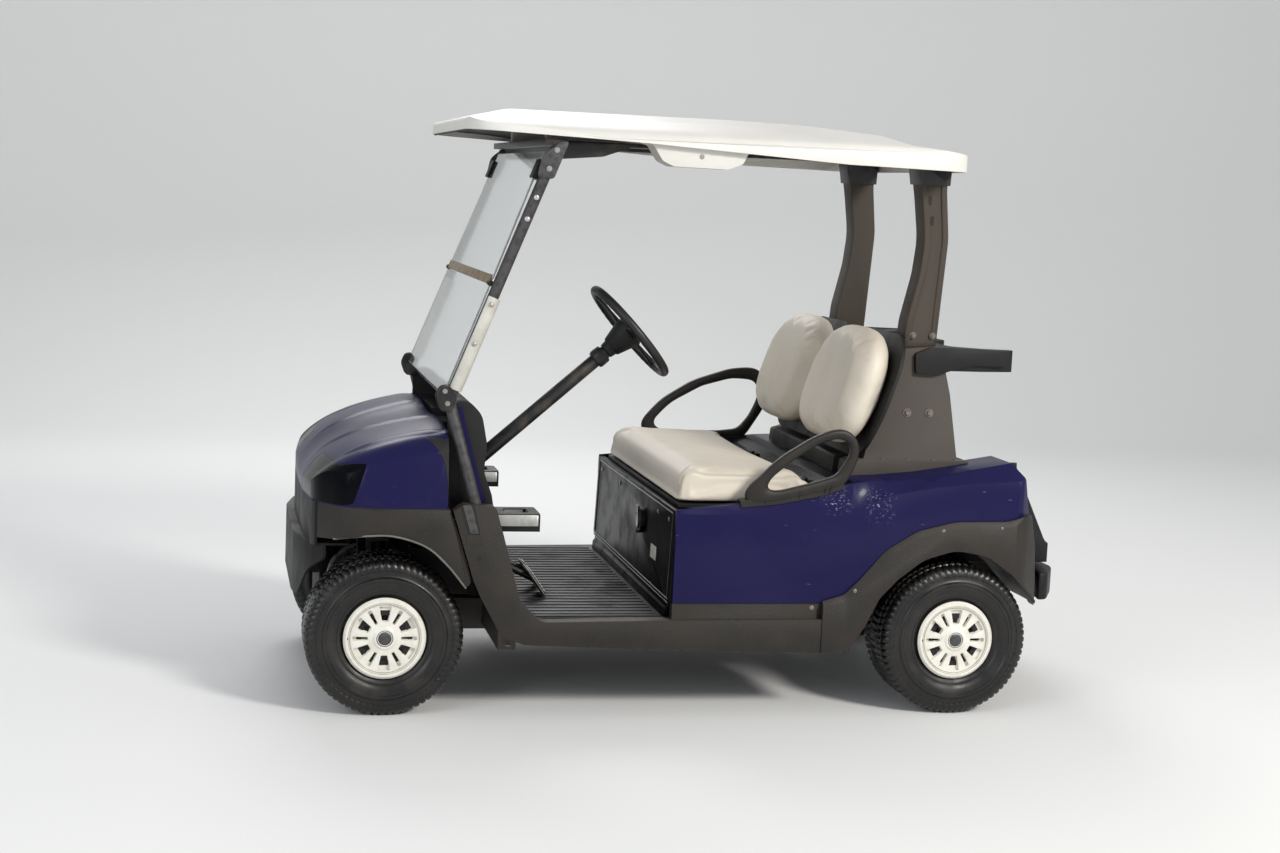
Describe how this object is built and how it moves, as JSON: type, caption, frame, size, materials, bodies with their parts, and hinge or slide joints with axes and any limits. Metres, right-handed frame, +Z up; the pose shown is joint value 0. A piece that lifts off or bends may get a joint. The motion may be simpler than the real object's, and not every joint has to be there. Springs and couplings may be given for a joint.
{
  "type": "two-seat golf cart",
  "caption": "Two-seat electric golf cart with a canopy, folding windshield, bench seat, bag well behind and covered wheels; wheels roll and steer.",
  "frame": {"origin": "on the floor under the middle of the cart's outline", "axes": "+X forward, +Y to the driver's left, +Z up"},
  "size_m": [2.3, 1.2, 1.7079],
  "materials": {
    "frame_metal": "dull cast and extruded frame",
    "black_steel": "black paint",
    "motor_metal": "black paint",
    "black_mould": "grained black moulding",
    "charcoal_mould": "grained charcoal moulding",
    "grey_mould": "dusty grey moulding",
    "blue_body": "glossy dark blue",
    "smoked_lens": "smoked lens",
    "black_mat": "ribbed wet mat",
    "battery_case": "plain block of the batteries' mass",
    "cream_vinyl": "cream vinyl",
    "white_shell": "white canopy",
    "galvanised": "galvanised tube",
    "pale_sleeve": "pale plastic sleeve",
    "clear_pane": "hazy clear pane",
    "tan_strip": "weathered tan strip",
    "tyre": "worn rubber",
    "rim_steel": "dull steel",
    "ivory_cover": "ivory cover"
  },
  "bodies": {
    "chassis": {"chassis_frame": "frame_metal", "front_suspension": "black_steel", "rear_axle": "black_steel", "drive_motor": "motor_metal", "rear_suspension": "black_steel", "front_bumper": "black_mould", "hood_cowl": "blue_body", "headlights": "smoked_lens", "front_fenders": "charcoal_mould", "dash_panel": "black_mould", "floor_pan": "black_mat", "rockers": "charcoal_mould", "kick_panel": "black_mould", "rear_body": "blue_body", "rear_fenders": "charcoal_mould", "bag_well": "black_mould", "rear_bumper": "black_mould", "battery_block": "battery_case", "seat_back_left": "cream_vinyl", "seat_back_right": "cream_vinyl", "seat_back_shell": "black_mould", "armrests": "black_mould", "post_panels": "grey_mould", "rear_posts": "grey_mould", "bag_rack": "black_mould", "roof": "white_shell", "roof_bracket": "black_steel", "front_struts": "galvanised", "windshield_lower": "clear_pane", "windshield_upper": "clear_pane", "windshield_strip": "tan_strip", "windshield_clips": "black_mould", "strut_sleeves": "pale_sleeve", "steering_column": "black_steel", "pedals": "black_steel"},
    "tie_rod": {"tie_rod": "black_steel"},
    "steering_wheel": {"steering_wheel": "black_mould"},
    "seat_bottom": {"seat_board": "black_mould", "seat_cushion": "cream_vinyl"},
    "knuckle_left": {"knuckle_left": "black_steel"},
    "wheel_front_left": {"tyre_front_left": "tyre", "rim_front_left": "rim_steel", "cover_front_left": "ivory_cover"},
    "wheel_rear_left": {"tyre_rear_left": "tyre", "rim_rear_left": "rim_steel", "cover_rear_left": "ivory_cover"},
    "knuckle_right": {"knuckle_right": "black_steel"},
    "wheel_front_right": {"tyre_front_right": "tyre", "rim_front_right": "rim_steel", "cover_front_right": "ivory_cover"},
    "wheel_rear_right": {"tyre_rear_right": "tyre", "rim_rear_right": "rim_steel", "cover_rear_right": "ivory_cover"}
  },
  "joints": [
    {"name": "steer_left", "type": "hinge", "parent": "chassis", "child": "knuckle_left", "pos_m": [0.902, 0.345, 0.222], "axis": [0, 0, 1], "range_deg": [-25, 25]},
    {"name": "steer_right", "type": "hinge", "parent": "chassis", "child": "knuckle_right", "pos_m": [0.902, -0.345, 0.222], "axis": [0, 0, 1], "range_deg": [-26, 26]},
    {"name": "tie_rod_slide", "type": "slide", "parent": "chassis", "child": "tie_rod", "axis": [0, 1, 0], "range_m": [-0.046, 0.046]},
    {"name": "steering_wheel_turn", "type": "hinge", "parent": "chassis", "child": "steering_wheel", "pos_m": [0.195, 0.3, 1.082], "axis": [-0.7479, 0, 0.6638], "range_deg": [-260, 260]},
    {"name": "seat_bottom_lid", "type": "hinge", "parent": "chassis", "child": "seat_bottom", "pos_m": [-0.352, 0, 0.654], "axis": [0, -1, 0], "range_deg": [0, 60]},
    {"name": "wheel_front_left_spin", "type": "hinge", "parent": "knuckle_left", "child": "wheel_front_left", "pos_m": [0.902, 0.438, 0.222], "axis": [0, 1, 0], "continuous": true},
    {"name": "wheel_rear_left_spin", "type": "hinge", "parent": "chassis", "child": "wheel_rear_left", "pos_m": [-0.762, 0.489, 0.222], "axis": [0, 1, 0], "continuous": true},
    {"name": "wheel_front_right_spin", "type": "hinge", "parent": "knuckle_right", "child": "wheel_front_right", "pos_m": [0.902, -0.438, 0.222], "axis": [0, 1, 0], "continuous": true},
    {"name": "wheel_rear_right_spin", "type": "hinge", "parent": "chassis", "child": "wheel_rear_right", "pos_m": [-0.762, -0.489, 0.222], "axis": [0, 1, 0], "continuous": true}
  ],
  "couplings": [
    {"joint": "steer_right", "follows": "steer_left", "ratio": 1},
    {"joint": "tie_rod_slide", "follows": "steer_left", "m_per_rad": -0.1},
    {"joint": "steering_wheel_turn", "follows": "steer_left", "ratio": 10}
  ]
}
